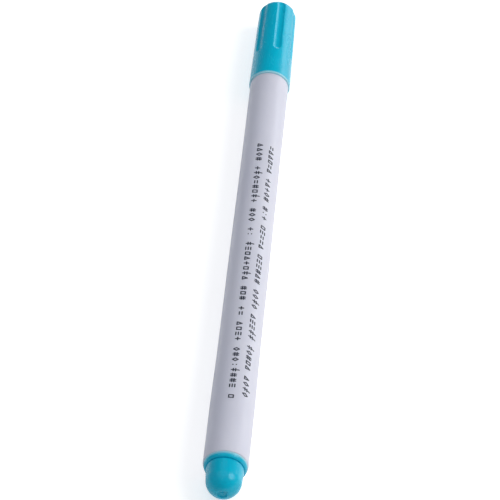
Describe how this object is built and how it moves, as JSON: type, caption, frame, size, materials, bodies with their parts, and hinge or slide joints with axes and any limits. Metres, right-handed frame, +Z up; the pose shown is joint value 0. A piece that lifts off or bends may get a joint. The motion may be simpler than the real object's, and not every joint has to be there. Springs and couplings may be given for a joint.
{
  "type": "marking pen",
  "caption": "Slim fibre-tipped fabric marking pen: tapered white barrel, fluted snap cap with an inner sealing cup, domed rear plug, and an ink reservoir feeding a bullet nib.",
  "frame": {"origin": "on the pen's axis at the barrel's rear face, where the end plug's flange meets it", "axes": "+X along the axis towards the capped nib, +Z up with the pen lying down, +Y sideways"},
  "size_m": [0.1423, 0.0088, 0.0088],
  "materials": {
    "barrel_plastic": "satin opaque white polypropylene",
    "cap_plastic": "semi-gloss opaque turquoise polypropylene",
    "inner_cap_plastic": "natural milky polyethylene",
    "nib_fibre": "bonded fibre stained with blue ink",
    "reservoir_fibre": "soft fibre bundle soaked with blue ink",
    "wrap_film": "thin glossy film",
    "printed_marks": "matt dark blue-black pad-printed ink"
  },
  "bodies": {
    "pen_body": {"barrel": "barrel_plastic", "end_plug": "cap_plastic", "nib_holder": "barrel_plastic", "nib": "nib_fibre", "ink_reservoir": "reservoir_fibre", "reservoir_wrap": "wrap_film", "breather_tube": "wrap_film"},
    "cap_liner": {"inner_cap": "inner_cap_plastic"},
    "cap_shell": {"outer_cap": "cap_plastic"}
  },
  "joints": [
    {"name": "cap_pull", "type": "slide", "parent": "pen_body", "child": "cap_liner", "axis": [1, 0, 0], "range_m": [0, 0.04]},
    {"name": "cap_twist", "type": "hinge", "parent": "cap_liner", "child": "cap_shell", "pos_m": [0.12, 0, 0], "axis": [1, 0, 0], "continuous": true}
  ]
}
